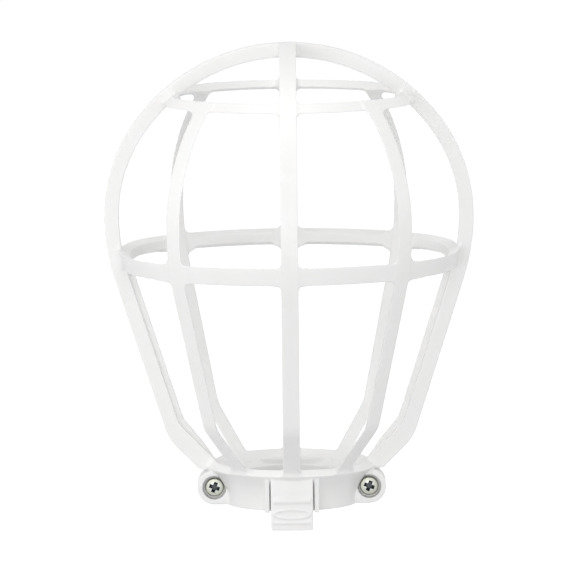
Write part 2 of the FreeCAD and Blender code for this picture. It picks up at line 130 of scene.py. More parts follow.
# Each softbox's name, place and side. The floor's width and the camera's far limit are in distances
# of the camera from its target.
SOFTBOXES = (
    ("top", (0.0, -0.15, 1.1), 0.7),
    ("front", (-0.1, -0.72, 0.05), 0.5),
    ("left", (-0.95, -0.35, 0.25), 0.6),
    ("right", (0.95, -0.35, 0.25), 0.6),
)
FAR = 10


class CagePlasticSettings(bpy.types.PropertyGroup):
    """Sizes and colours of the moulded halves."""

    grid: FloatProperty(
        name="Rounding Grid",
        description="Cell of the grid that the moulded edges are rounded on",
        default=0.0002,
        precision=5,
        unit="LENGTH",
    )
    passes: IntProperty(
        name="Rounding Passes",
        description="How many times the grid is smoothed, which sets the radius of the edges",
        default=6,
    )
    triangles: IntProperty(
        name="Triangles",
        description="Most triangles that a finished half may have",
        default=185000,
    )
    junction_round: FloatProperty(
        name="Junction Rounding",
        description="Radius in the corners where ribs and rings of the cage meet",
        default=0.0012,
        precision=5,
        unit="LENGTH",
    )
    junction_grid: FloatProperty(
        name="Junction Grid",
        description="Cell of the grid that the junctions are rounded on",
        default=0.0003,
        precision=5,
        unit="LENGTH",
    )
    junctions_above: FloatProperty(
        name="Junctions Above",
        description="Height above which junctions are rounded, clear of the lugs and the tab",
        default=0.011,
        precision=5,
        unit="LENGTH",
    )
    split_margin: FloatProperty(
        name="Split Margin",
        description="Width beside the split that is left as it is, for the pegs and their holes",
        default=0.0019,
        precision=5,
        unit="LENGTH",
    )
    flare_blend: FloatProperty(
        name="Flare Blend",
        description="Length of the blend along the collar and along the underside of the flare",
        default=0.0045,
        precision=5,
        unit="LENGTH",
    )
    colour: FloatVectorProperty(
        name="Plastic",
        description="Colour of the clean white plastic",
        default=(0.88, 0.88, 0.875),
        subtype="COLOR",
    )
    aged: FloatVectorProperty(
        name="Aged Plastic",
        description="Slightly warmer colour of the plastic in soft patches",
        default=(0.86, 0.857, 0.842),
        subtype="COLOR",
    )
    rubbed: FloatVectorProperty(
        name="Rubbed Plastic",
        description="Colour of the edges where handling has polished them",
        default=(0.92, 0.92, 0.915),
        subtype="COLOR",
    )
    roughness: FloatProperty(
        name="Roughness",
        description="Roughness of the satin moulded skin",
        default=0.42,
        subtype="FACTOR",
    )
    grain: FloatProperty(
        name="Grain",
        description="Size of one grain of the mould's spark texture",
        default=0.00035,
        precision=5,
        unit="LENGTH",
    )


class ClampSteelSettings(bpy.types.PropertyGroup):
    """Sizes and colours of the zinc-plated screws and nuts."""

    steps: IntProperty(
        name="Steps",
        description="Steps round a turned screw or nut",
        default=72,
    )
    pitch: FloatProperty(
        name="Thread Pitch",
        description="Distance from one turn of the thread to the next",
        default=0.0005,
        precision=5,
        unit="LENGTH",
    )
    thread_depth: FloatProperty(
        name="Thread Depth",
        description="Depth of the thread below the shank's full radius",
        default=0.00028,
        precision=5,
        unit="LENGTH",
    )
    shank_radius: FloatProperty(
        name="Shank Radius",
        description="Full radius of the screw's shank",
        default=0.0015,
        precision=5,
        unit="LENGTH",
    )
    head_height: FloatProperty(
        name="Head Height",
        description="Height of the pan head",
        default=0.002,
        precision=5,
        unit="LENGTH",
    )
    head_round: FloatProperty(
        name="Head Rounding",
        description="Radius of the pan head's rounded shoulder",
        default=0.0005,
        precision=5,
        unit="LENGTH",
    )
    recess_reach: FloatProperty(
        name="Recess Reach",
        description="Reach of the cross recess from the screw's axis",
        default=0.00165,
        precision=5,
        unit="LENGTH",
    )
    recess_width: FloatProperty(
        name="Recess Width",
        description="Width of one arm of the cross recess",
        default=0.0012,
        precision=5,
        unit="LENGTH",
    )
    recess_depth: FloatProperty(
        name="Recess Depth",
        description="Depth of the cross recess, whose walls taper",
        default=0.0014,
        precision=5,
        unit="LENGTH",
    )
    recess_turn: FloatProperty(
        name="Recess Turn",
        description="How far the driven screws' recesses are turned from upright",
        default=math.radians(20.0),
        subtype="ANGLE",
    )
    nut_chamfer: FloatProperty(
        name="Nut Chamfer",
        description="Height of the chamfer on the corners of the nuts",
        default=0.00035,
        precision=5,
        unit="LENGTH",
    )
    colour: FloatVectorProperty(
        name="Zinc",
        description="Colour of the bright zinc plating",
        default=(0.40, 0.42, 0.41),
        subtype="COLOR",
    )
    # Painted shade: the heads' shoulders and the nuts' sides take this darker yellowish grey for
    # the shade and dark reflection they have in their pockets.
    side_shade: FloatVectorProperty(
        name="Zinc Side Shade",
        description="Yellowish grey of painted shade and dark reflection on the plating, on the heads' shoulders and the nuts' sides",
        default=(0.33, 0.33, 0.27),
        subtype="COLOR",
    )
    bared: FloatVectorProperty(
        name="Bared Steel",
        description="Colour of the edges where the plating is rubbed bright",
        default=(0.55, 0.56, 0.55),
        subtype="COLOR",
    )
    # Painted shade: the near-black in the cross recess is mostly shade, on steel that is dark blued
    # there.
    recess: FloatVectorProperty(
        name="Recess",
        description="Dark blued steel with painted shade inside the cross recess",
        default=(0.03, 0.04, 0.06),
        subtype="COLOR",
    )
    roughness: FloatProperty(
        name="Roughness",
        description="Roughness of the plating",
        default=0.34,
        subtype="FACTOR",
    )
    grain: FloatProperty(
        name="Grain",
        description="Size of one crystal of the plating",
        default=0.00022,
        precision=5,
        unit="LENGTH",
    )


class CageStageSettings(bpy.types.PropertyGroup):
    """Camera, floor and lamps."""

    target_height: FloatProperty(
        name="Target Height",
        description="Height of the point on the lamp axis that the camera is set out from",
        default=0.072,
        unit="LENGTH",
    )
    distance: FloatProperty(
        name="Camera Distance",
        description="How far the camera stands from the target",
        default=2.4,
        unit="LENGTH",
    )
    elevation: FloatProperty(
        name="Camera Elevation",
        description="Angle of the camera above the horizon",
        default=math.radians(7.0),
        subtype="ANGLE",
    )
    roll: FloatProperty(
        name="Camera Roll",
        description="How far the camera is turned about its own line of sight",
        default=math.radians(0.6),
        subtype="ANGLE",
    )
    view_width: FloatProperty(
        name="View Width",
        description="Width of the picture at the target",
        default=0.1799,
        unit="LENGTH",
    )
    target_right: FloatProperty(
        name="Target Right",
        description="How far the target sits to the right of the picture's centre",
        default=0.0005,
        unit="LENGTH",
    )
    target_up: FloatProperty(
        name="Target Up",
        description="How far the target sits above the picture's centre",
        default=0.00453,
        unit="LENGTH",
    )
    floor_drop: FloatProperty(
        name="Floor Drop",
        description="How far the floor lies below the collar, which its lampholder holds up",
        default=0.035,
        unit="LENGTH",
    )
    floor_colour: FloatVectorProperty(
        name="Floor",
        description="Colour of the pale floor",
        default=(0.62, 0.62, 0.63),
        subtype="COLOR",
    )
    floor_lift: FloatProperty(
        name="Floor Lift",
        description="What the floor adds to its own shade where the camera sees it, to look white",
        default=0.73,
    )
    ambient: FloatProperty(
        name="Ambient",
        description="Strength of the light from all round",
        default=0.47,
    )
    top_power: FloatProperty(
        name="Top Softbox",
        description="Power of the softbox above the guard",
        default=3.8,
        unit="POWER",
    )
    front_power: FloatProperty(
        name="Front Softbox",
        description="Power of the softbox beside the camera",
        default=2.45,
        unit="POWER",
    )
    left_power: FloatProperty(
        name="Left Softbox",
        description="Power of the softbox on the left",
        default=2.5,
        unit="POWER",
    )
    right_power: FloatProperty(
        name="Right Softbox",
        description="Power of the softbox on the right",
        default=1.9,
        unit="POWER",
    )


def settings():
    scene = bpy.context.scene
    return scene.cage_plastic, scene.clamp_steel, scene.cage_stage


# Shader helpers

def new_group(name, inputs, outputs):
    """Shader node group with its two ends. Sockets are floats, but an input of None is a vector."""
    group = bpy.data.node_groups.new(name, "ShaderNodeTree")
    for socket, default in inputs.items():
        kind = "NodeSocketVector" if default is None else "NodeSocketFloat"
        made = group.interface.new_socket(name=socket, in_out="INPUT", socket_type=kind)
        if default is not None:
            made.default_value = default
    for socket in outputs:
        group.interface.new_socket(name=socket, in_out="OUTPUT", socket_type="NodeSocketFloat")
    start = group.nodes.new("NodeGroupInput")
    end = group.nodes.new("NodeGroupOutput")
    return group, start, end


def add(tree, kind, values=None, **options):
    """New node with its options and input values set."""
    node = tree.nodes.new(kind)
    for name, value in options.items():
        setattr(node, name, value)
    for name, value in (values or {}).items():
        node.inputs[name].default_value = value
    return node


def place(tree, group, vector, **values):
    """Node in a material that uses a node group, with its own values."""
    node = tree.nodes.new("ShaderNodeGroup")
    node.node_tree = group
    tree.links.new(vector, node.inputs["Vector"])
    for name, value in values.items():
        node.inputs[name].default_value = value
    return node


def grain_group():
    """Fine pebbled height with a broader ripple, both in the object's own metres."""
    inputs = {"Vector": None, "Grain Size": 0.0003}
    group, start, end = new_group("Surface Grain", inputs, ["Height"])
    links = group.links
    per_metre = add(group, "ShaderNodeMath", operation="DIVIDE", values={0: 1.0})
    links.new(start.outputs["Grain Size"], per_metre.inputs[1])
    pebbles = add(group, "ShaderNodeTexVoronoi", feature="SMOOTH_F1", values={"Smoothness": 0.6})
    ripple = add(group, "ShaderNodeTexNoise", values={"Detail": 3.0, "Roughness": 0.55})
    broad = add(group, "ShaderNodeMath", operation="MULTIPLY", values={1: 0.22})
    links.new(per_metre.outputs[0], broad.inputs[0])
    for texture, scale in ((pebbles, per_metre), (ripple, broad)):
        links.new(start.outputs["Vector"], texture.inputs["Vector"])
        links.new(scale.outputs[0], texture.inputs["Scale"])
    height = add(group, "ShaderNodeMix", data_type="FLOAT", values={MIX_FACTOR: 0.55})
    links.new(pebbles.outputs["Distance"], height.inputs[FLOAT_A])
    links.new(ripple.outputs["Fac"], height.inputs[FLOAT_B])
    links.new(height.outputs[FLOAT_OUT], end.inputs["Height"])
    return group


def patches_group():
    """Soft uneven patches, from 0 to 1, for colour and gloss that vary over a surface."""
    inputs = {"Vector": None, "Patch Size": 0.02, "Contrast": 1.0}
    group, start, end = new_group("Soft Patches", inputs, ["Patches"])
    links = group.links
    per_metre = add(group, "ShaderNodeMath", operation="DIVIDE", values={0: 1.0})
    links.new(start.outputs["Patch Size"], per_metre.inputs[1])
    uneven = {"Detail": 4.0, "Roughness": 0.6, "Distortion": 0.6}
    noise = add(group, "ShaderNodeTexNoise", values=uneven)
    links.new(start.outputs["Vector"], noise.inputs["Vector"])
    links.new(per_metre.outputs[0], noise.inputs["Scale"])
    centred = add(group, "ShaderNodeMath", operation="SUBTRACT", values={1: 0.5})
    links.new(noise.outputs["Fac"], centred.inputs[0])
    spread = add(group, "ShaderNodeMath", operation="MULTIPLY_ADD", use_clamp=True, values={2: 0.5})
    links.new(centred.outputs[0], spread.inputs[0])
    links.new(start.outputs["Contrast"], spread.inputs[1])
    links.new(spread.outputs[0], end.inputs["Patches"])
    return group


def edge_group():
    """Broken mask along worn convex edges, from 0 to 1."""
    inputs = {"Vector": None, "Break Size": 0.002, "Amount": 0.5}
    group, start, end = new_group("Rubbed Edges", inputs, ["Mask"])
    links = group.links
    shape = group.nodes.new("ShaderNodeNewGeometry")
    convex = add(group, "ShaderNodeMapRange", values={"From Min": 0.5, "From Max": 0.6})
    links.new(shape.outputs["Pointiness"], convex.inputs["Value"])
    per_metre = add(group, "ShaderNodeMath", operation="DIVIDE", values={0: 1.0})
    links.new(start.outputs["Break Size"], per_metre.inputs[1])
    noise = add(group, "ShaderNodeTexNoise", values={"Detail": 5.0})
    links.new(start.outputs["Vector"], noise.inputs["Vector"])
    links.new(per_metre.outputs[0], noise.inputs["Scale"])
    broken = add(group, "ShaderNodeMath", operation="MULTIPLY")
    links.new(convex.outputs["Result"], broken.inputs[0])
    links.new(noise.outputs["Fac"], broken.inputs[1])
    amount = add(group, "ShaderNodeMath", operation="MULTIPLY", use_clamp=True)
    links.new(broken.outputs[0], amount.inputs[0])
    links.new(start.outputs["Amount"], amount.inputs[1])
    links.new(amount.outputs[0], end.inputs["Mask"])
    return group


def shared_group(name, maker):
    """A node group that more than one material uses, built once."""
    return bpy.data.node_groups.get(name) or maker()


def finish_material(name, look):
    """Material with mottled colour, uneven gloss, rubbed edges and a fine grain, and its shader."""
    material = bpy.data.materials.new(name)
    material.use_nodes = True
    tree = material.node_tree
    links = tree.links
    shader = tree.nodes["Principled BSDF"]
    place_on = tree.nodes.new("ShaderNodeTexCoord").outputs["Object"]
    patches = place(
        tree, shared_group("Soft Patches", patches_group), place_on,
        **{"Patch Size": look["patch"], "Contrast": look["contrast"]},
    )
    edges = place(
        tree, shared_group("Rubbed Edges", edge_group), place_on,
        **{"Break Size": look["break"], "Amount": look["rub"]},
    )
    grain = place(
        tree, shared_group("Surface Grain", grain_group), place_on,
        **{"Grain Size": look["grain"]},
    )
    colour = add(tree, "ShaderNodeMix", data_type="RGBA")
    colour.inputs[COLOUR_A].default_value = (*look["colour"], 1.0)
    colour.inputs[COLOUR_B].default_value = (*look["second"], 1.0)
    links.new(patches.outputs["Patches"], colour.inputs[MIX_FACTOR])
    rubbed = add(tree, "ShaderNodeMix", data_type="RGBA")
    rubbed.inputs[COLOUR_B].default_value = (*look["rubbed"], 1.0)
    links.new(edges.outputs["Mask"], rubbed.inputs[MIX_FACTOR])
    links.new(colour.outputs[COLOUR_OUT], rubbed.inputs[COLOUR_A])
    links.new(rubbed.outputs[COLOUR_OUT], shader.inputs["Base Color"])
    low = look["roughness"] - look["gloss_spread"]
    high = look["roughness"] + look["gloss_spread"]
    gloss = add(tree, "ShaderNodeMapRange", values={"To Min": low, "To Max": high})
    links.new(patches.outputs["Patches"], gloss.inputs["Value"])
    links.new(gloss.outputs["Result"], shader.inputs["Roughness"])
    relief = {"Strength": look["bump"], "Distance": look["depth"]}
    bump = add(tree, "ShaderNodeBump", values=relief)
    links.new(grain.outputs["Height"], bump.inputs["Height"])
    links.new(bump.outputs["Normal"], shader.inputs["Normal"])
    return material, shader


def plastic_material(plastic):
    """White moulded plastic with a satin spark texture and a faint warmth in places."""
    material, shader = finish_material("moulded_white_plastic", {
        "colour": plastic.colour,
        "second": plastic.aged,
        "rubbed": plastic.rubbed,
        "patch": 0.018,
        "contrast": 1.6,
        "break": 0.0015,
        "rub": 0.6,
        "grain": plastic.grain,
        "roughness": plastic.roughness,
        "gloss_spread": 0.06,
        "bump": 0.18,
        "depth": 0.00006,
    })
    shader.inputs["IOR"].default_value = 1.49
    shader.inputs["Subsurface Weight"].default_value = 0.12
    shader.inputs["Subsurface Radius"].default_value = (1.0, 0.95, 0.88)
    shader.inputs["Subsurface Scale"].default_value = 0.0012
    return material


def steel_material(name, steel, colour, second, extra_roughness, rub):
    """Plated steel that is mottled between two colours and rubbed bright on its edges."""
    material, shader = finish_material(name, {
        "colour": colour,
        "second": second,
        "rubbed": steel.bared,
        "patch": 0.0009,
        "contrast": 2.0,
        "break": 0.0006,
        "rub": rub,
        "grain": steel.grain,
        "roughness": steel.roughness + extra_roughness,
        "gloss_spread": 0.08,
        "bump": 0.3,
        "depth": 0.00003,
    })
    shader.inputs["Metallic"].default_value = 1.0
    return material


def steel_materials(steel):
    """Zinc for faces, zinc with painted shade for the sides and dark steel with painted shade for
    the recesses, made once.
    """
    made = bpy.data.materials
    if "zinc_plated_steel" not in made:
        # The side colour is painted shade and dark reflection. Half of it is mixed into the zinc's
        # own mottling.
        half_side_shade = [(a + b) / 2 for a, b in zip(steel.colour, steel.side_shade)]
        half_dark = [(a + 2 * b) / 3 for a, b in zip(steel.side_shade, steel.recess)]
        steel_material("zinc_plated_steel", steel, steel.colour, half_side_shade, 0.0, 0.7)
        steel_material("dulled_zinc_side", steel, steel.side_shade, half_side_shade, 0.06, 0.7)
        # The recess steel is near-black for painted shade inside the cross recess.
        steel_material("dark_recess_steel", steel, steel.recess, half_dark, 0.2, 0.1)
    return [made["zinc_plated_steel"], made["dulled_zinc_side"], made["dark_recess_steel"]]


# Pieces

def drawn_out(outline, along):
    """Closed mesh of a flat outline drawn out along a vector."""
    near = [Vector(point) for point in outline]
    far = [point + Vector(along) for point in near]
    return lofted([near, far])


def lofted(outlines):
    """Closed mesh through flat outlines of the same number of points, capped at both ends."""
    mesh = bmesh.new()
    loops = [[mesh.verts.new(point) for point in outline] for outline in outlines]
    mesh.faces.new(loops[0])
    mesh.faces.new(loops[-1])
    count = len(loops[0])
    for low, high in zip(loops, loops[1:]):
        for k in range(count):
            following = (k + 1) % count
            mesh.faces.new((low[k], low[following], high[following], high[k]))
    bmesh.ops.recalc_face_normals(mesh, faces=mesh.faces)
    return mesh


def flare_blend(plastic, side):
    """Hollow blend from the collar up to the underside of the flare, on one side of the split."""
    crease_r, crease_z = COLLAR_CREASE
    length = plastic.flare_blend
    radius = length / math.tan(math.pi / 8)
    centre_r, centre_z = crease_r + radius, crease_z - length
    sunk_r = crease_r - length / 8
    section = [(sunk_r, centre_z), (crease_r, centre_z)]
    for step in range(1, BLEND_STEPS + 1):
        turn = math.pi - math.pi / 4 * step / BLEND_STEPS
        section.append((centre_r + radius * math.cos(turn), centre_z + radius * math.sin(turn)))
    section.append((sunk_r, section[-1][1]))
    first = math.asin(CLAMP_GAP / crease_r)
    outlines = []
    for step in range(HALF_TURN_STEPS + 1):
        turn = first + (math.pi - 2 * first) * step / HALF_TURN_STEPS
        across, along = math.cos(turn), side * math.sin(turn)
        outlines.append([(r * across, r * along, z) for r, z in section])
    return lofted(outlines)


def added_forms(node, plastic):
    """Closed meshes of the small forms that each half carries besides its solid."""
    if node == "front_half":
        forms = [flare_blend(plastic, -1)]
        root = [(-TAB_HALF_WIDTH, y, z) for y, z in TAB_ROOT]
        forms.append(drawn_out(root, (2 * TAB_HALF_WIDTH, 0.0, 0.0)))
        inside, outside = GUARD_RIB_SIDES
        for x, width in ((inside, outside - inside), (-inside, inside - outside)):
            forms.append(drawn_out([(x, y, z) for y, z in GUARD_RIB], (width, 0.0, 0.0)))
        return forms
    forms = [flare_blend(plastic, 1)]
    for side in (1, -1):
        forms.append(drawn_out([(side * x, 0.0, z) for x, z in LIP_END], (0.0, LIP_WIDTH, 0.0)))
    return forms


def offset_surface(points, faces, grid, distance):
    """Points and quads of the surface at a distance outside, or inside, a closed surface."""
    least = 3.0
    cells = abs(distance) / grid + least
    field = openvdb.FloatGrid.createLevelSetFromPolygons(
        points,
        transform=openvdb.createLinearTransform(grid),
        exBandWidth=cells if distance > 0 else least,
        inBandWidth=cells if distance < 0 else least,
        **faces,
    )
    points, quads = field.convertToQuads(isovalue=distance)
    return points, {"quads": quads}


def rounded_junctions(half, plastic, side):
    """Mesh of the cage above the collar with the corners between its ribs and rings filled in."""
    cage = half.copy()
    for place_at, normal in (
        ((0.0, 0.0, plastic.junctions_above), (0.0, 0.0, 1.0)),
        ((0.0, side * plastic.split_margin, 0.0), (0.0, side, 0.0)),
    ):
        everything = cage.verts[:] + cage.edges[:] + cage.faces[:]
        cut = bmesh.ops.bisect_plane(
            cage, geom=everything, plane_co=place_at, plane_no=normal, clear_inner=True,
        )
        rim = [item for item in cut["geom_cut"] if isinstance(item, bmesh.types.BMEdge)]
        bmesh.ops.holes_fill(cage, edges=rim)
    bmesh.ops.triangulate(cage, faces=cage.faces)
    cage.verts.index_update()
    points = numpy.array([vert.co[:] for vert in cage.verts], dtype=numpy.float32)
    corners = [[vert.index for vert in face.verts] for face in cage.faces]
    faces = numpy.array(corners, dtype=numpy.uint32)
    cage.free()
    grid, radius = plastic.junction_grid, plastic.junction_round
    points, swollen = offset_surface(points, {"triangles": faces}, grid, radius)
    points, filled = offset_surface(points, swollen, grid, -radius)
    mesh = bpy.data.meshes.new("rounded_junctions")
    mesh.from_pydata(points.tolist(), [], filled["quads"].tolist())
    return mesh


def ring_slopes(side):
    """Closed meshes that slope the upper ring's top inwards, between the ribs that cross it."""
    slopes = []
    radius = RING_SLOPE[0][0]
    clear = math.asin(RIB_HALF_WIDTH / radius)
    for first in (clear, math.pi / 2 + clear):
        outlines = []
        for step in range(QUARTER_TURN_STEPS + 1):
            turn = first + (math.pi / 2 - 2 * clear) * step / QUARTER_TURN_STEPS
            across, along = math.cos(turn), side * math.sin(turn)
            outlines.append([(r * across, r * along, z) for r, z in RING_SLOPE])
        slopes.append(lofted(outlines))
    return slopes


def cleared_end(room, back_at, across, side):
    """Closed mesh that clears a ring beside a side rib."""
    first = [
        (across * math.sqrt(r**2 - SIDE_RIB_FACE**2), side * SIDE_RIB_FACE, z) for r, z in room
    ]
    outlines = [first]
    for step in range(CLEARED_STEPS + 1):
        turn = CLEARED_FROM + (back_at - CLEARED_FROM) * step / CLEARED_STEPS
        x, y = across * math.cos(turn), side * math.sin(turn)
        outlines.append([(r * x, r * y, z) for r, z in room])
    return lofted(outlines)


def led_ring(section, lead_in, back_at, side):
    """Closed mesh of half a ring whose ends are led inside the side ribs."""
    outlines = []
    for step in range(HALF_TURN_STEPS + 1):
        turn = SPLIT_TURN + (math.pi - 2 * SPLIT_TURN) * step / HALF_TURN_STEPS
        from_rib = min(turn, math.pi - turn)
        inwards = lead_in * math.cos(math.pi / 2 * min(from_rib / back_at, 1.0)) ** 2
        x, y = math.cos(turn), side * math.sin(turn)
        outlines.append([((r - inwards) * x, (r - inwards) * y, z) for r, z in section])
    return lofted(outlines)


def half_with_rings(node, plastic, side):
    """Mesh of a half's solid with its upper ring sloped and both rings led inside the side ribs."""
    half = bmesh.new()
    half.from_mesh(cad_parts[node].data)
    bmesh.ops.remove_doubles(half, verts=half.verts, dist=plastic.grid / 100)
    data = bpy.data.meshes.new(node + "_with_rings")
    half.to_mesh(data)
    half.free()
    piece = bpy.data.objects.new(node + "_with_rings", data)
    bpy.context.scene.collection.objects.link(piece)
    shapes = [(slope, "DIFFERENCE") for slope in ring_slopes(side)]
    for front, rear, room, lead_in, back_at in RING_ENDS:
        for across in (1, -1):
            shapes.append((cleared_end(room, back_at, across, side), "DIFFERENCE"))
        section = front if side < 0 else rear
        shapes.append((led_ring(section, lead_in, back_at, side), "UNION"))
    tools = []
    for shape, operation in shapes:
        mesh = bpy.data.meshes.new("ring_shape")
        shape.to_mesh(mesh)
        shape.free()
        tool = bpy.data.objects.new("ring_shape", mesh)
        bpy.context.scene.collection.objects.link(tool)
        change = piece.modifiers.new("Ring Shape", "BOOLEAN")
        change.operation = operation
        change.solver = "EXACT"
        change.object = tool
        tools.append(mesh)
    bake_modifiers(piece)
    half = bmesh.new()
    half.from_mesh(piece.data)
    for mesh in (piece.data, *tools):
        bpy.data.meshes.remove(mesh)
    return half


def rounded_half(node, plastic):
    """Copy of a half with its small forms added and every moulded edge and junction rounded."""
    side = -1.0 if node == "front_half" else 1.0
    half = half_with_rings(node, plastic, side)
    parts = [rounded_junctions(half, plastic, side)]
    for form in added_forms(node, plastic):
        parts.append(bpy.data.meshes.new("added_form"))
        form.to_mesh(parts[-1])
        form.free()
    for part in parts:
        half.from_mesh(part)
        bpy.data.meshes.remove(part)
    data = bpy.data.meshes.new(node + "_shell")
    half.to_mesh(data)
    half.free()
    piece = bpy.data.objects.new(node + "_shell", data)
    bpy.context.scene.collection.objects.link(piece)
    grid = piece.modifiers.new("Rounding Grid", "REMESH")
    grid.mode = "VOXEL"
    grid.voxel_size = plastic.grid
    soften = piece.modifiers.new("Rounding", "SMOOTH")
    soften.iterations = plastic.passes
    bake_modifiers(piece)
    count = sum(len(face.vertices) - 2 for face in piece.data.polygons)
    if count > plastic.triangles:
        lighten = piece.modifiers.new("Lighter Mesh", "DECIMATE")
        lighten.ratio = plastic.triangles / count
        bake_modifiers(piece)
    piece.data.shade_smooth()
    return piece


def bake_modifiers(piece):
    """Put the result of a piece's modifiers into its own mesh."""
    graph = bpy.context.evaluated_depsgraph_get()
    mesh = bpy.data.meshes.new_from_object(piece.evaluated_get(graph), depsgraph=graph)
    piece.modifiers.clear()
    piece.data = mesh


def turned_piece(name, rows, steps, place_at, ring=False):
    """Object turned about its own Y axis. A row is a height and a radius for every step round."""
    mesh = bmesh.new()
    turns = [2 * math.pi * step / steps for step in range(steps)]
    loops = []
    for height, radii in rows:
        loops.append([
            mesh.verts.new((radius * math.cos(turn), height, radius * math.sin(turn)))
            for turn, radius in zip(turns, radii)
        ])
    pairs = list(zip(loops, loops[1:]))
    if ring:
        pairs.append((loops[-1], loops[0]))
    else:
        mesh.faces.new(loops[0])
        mesh.faces.new(loops[-1])
    for low, high in pairs:
        for step in range(steps):
            following = (step + 1) % steps
            mesh.faces.new((low[step], low[following], high[following], high[step]))
    bmesh.ops.recalc_face_normals(mesh, faces=mesh.faces)
    data = bpy.data.meshes.new(name)
    mesh.to_mesh(data)
    mesh.free()
    data.shade_smooth()
    data.set_sharp_from_angle(angle=CREASE_ANGLE)
    piece = bpy.data.objects.new(name, data)
    piece.location = place_at
    bpy.context.scene.collection.objects.link(piece)
    return piece


def thread_radii(height, radius, steel, steps):
    """Radii round a shank at a height on its thread, with a flat crest and root."""
    radii = []
    for step in range(steps):
        phase = (height / steel.pitch - step / steps) % 1.0
        fall = (abs(2 * phase - 1) - THREAD_FLAT) / (1 - 2 * THREAD_FLAT)
        radii.append(radius - steel.thread_depth * min(max(fall, 0.0), 1.0))
    return radii


def head_rows(front, seat, radius, steel):
    """Rows of a pan head, from the middle of its slightly domed top to its seat."""
    flat = radius - steel.head_round
    dome = steel.head_round * HEAD_DOME
    rows = []
    for part in HEAD_TOP:
        rows.append((front + dome * part**2, flat * part))
    for step in range(1, HEAD_STEPS + 1):
        turn = math.pi / 2 * step / HEAD_STEPS
        drop = dome + steel.head_round * (1 - math.cos(turn))
        rows.append((front + drop, flat + steel.head_round * math.sin(turn)))
    edge = steel.head_round * HEAD_EDGE
    rows.append((seat - edge, radius))
    rows.append((seat, radius - edge))
    return rows


def recess_arm(name, steel, front, turn, material):
    """Tapered bar that cuts one pair of arms of the cross recess."""
    outlines = []
    for depths, reach, width in RECESS_ENDS:
        height = front + steel.recess_depth * depths
        along = steel.recess_reach * reach
        across = steel.recess_width / 2 * width
        corners = ((-along, -across), (along, -across), (along, across), (-along, across))
        outlines.append([(x, height, z) for x, z in corners])
    mesh = lofted(outlines)
    bmesh.ops.rotate(mesh, verts=mesh.verts, matrix=Matrix.Rotation(turn, 3, "Y"))
    data = bpy.data.meshes.new(name)
    mesh.to_mesh(data)
    mesh.free()
    data.materials.append(material)
    arm = bpy.data.objects.new(name, data)
    bpy.context.scene.collection.objects.link(arm)
    return arm


def finished_screw(node, steel):
    """Pan-head screw with a tapered cross recess and a rolled thread."""
    low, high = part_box(node)
    middle = (low + high) / 2
    axis = Vector((middle.x, 0.0, middle.z))
    radius = (high.x - low.x) / 2
    seat = low.y + steel.head_height
    steps = steel.steps
    face, side, recess = steel_materials(steel)
    rows = [(height, [r] * steps) for height, r in head_rows(low.y, seat, radius, steel)]
    plain = steel.shank_radius - steel.thread_depth / 2
    rows.append((seat, [plain] * steps))
    height = seat + steel.pitch
    while height < high.y - steel.pitch / 2:
        rows.append((height, thread_radii(height, steel.shank_radius, steel, steps)))
        height += steel.pitch / THREAD_ROWS
    tip = steel.shank_radius - steel.thread_depth
    rows.append((high.y - steel.pitch / 4, [tip] * steps))
    rows.append((high.y, [tip - steel.pitch / 4] * steps))
    piece = turned_piece(node + "_turned", rows, steps, axis)
    for material in (face, side, recess):
        piece.data.materials.append(material)
    # The head's shoulder and side take the zinc with painted shade, for the shade and dark
    # reflection round the head in its counterbore.
    for polygon in piece.data.polygons:
        at = polygon.center
        if math.hypot(at.x, at.z) > radius * HEAD_FACE or at.y > seat - steel.head_round:
            polygon.material_index = 1
    arms = []
    for quarter in (0.0, math.pi / 2):
        arm = recess_arm("recess_arm", steel, low.y, steel.recess_turn + quarter, recess)
        arm.location = axis
        cut = piece.modifiers.new("Cross Recess", "BOOLEAN")
        cut.operation = "DIFFERENCE"
        cut.solver = "EXACT"
        # The cut walls take the recess steel, with its painted shade.
        cut.material_mode = "TRANSFER"
        cut.object = arm
        arms.append(arm)
    bake_modifiers(piece)
    for arm in arms:
        bpy.data.meshes.remove(arm.data)
    return piece


def finished_nut(node, steel):
    """Hexagon nut with chamfered corners and a countersunk bore."""
    low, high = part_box(node)
    middle = (low + high) / 2
    flat = (high.z - low.z) / 2
    steps = steel.steps
    sixth = math.pi / 3
    hexagon = []
    for step in range(steps):
        turn = 2 * math.pi * step / steps
        hexagon.append(flat / math.cos(turn % sixth - sixth / 2))
    chamfer = steel.nut_chamfer
    washer = flat * NUT_FACE
    corner = max(hexagon)
    rows = []
    for end, inward in ((low.y, 1), (high.y, -1)):
        rises = []
        for part in CHAMFER_STEPS:
            limit = washer + (corner - washer) * part
            rises.append((end + inward * chamfer * part, [min(r, limit) for r in hexagon]))
        rows.extend(rises if inward > 0 else reversed(rises))
    bore = steel.shank_radius * NUT_BORE
    sunk = bore + chamfer
    rows.append((high.y, [sunk] * steps))
    rows.append((high.y - chamfer, [bore] * steps))
    rows.append((low.y + chamfer, [bore] * steps))
    rows.append((low.y, [sunk] * steps))
    piece = turned_piece(node + "_turned", rows, steps, (middle.x, 0.0, middle.z), ring=True)
    for material in steel_materials(steel)[:2]:
        piece.data.materials.append(material)
    # The nut's sides take the zinc with painted shade.
    for polygon in piece.data.polygons:
        if abs(polygon.normal.y) < NUT_SIDE_SLOPE:
            polygon.material_index = 1
    return piece


def seat_piece(piece, node):
    """Let a finished piece stand for its node, on the guard's one body."""
    if not piece.data.polygons:
        raise RuntimeError(node + " has no faces")
    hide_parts(node)
    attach(piece, BODY)


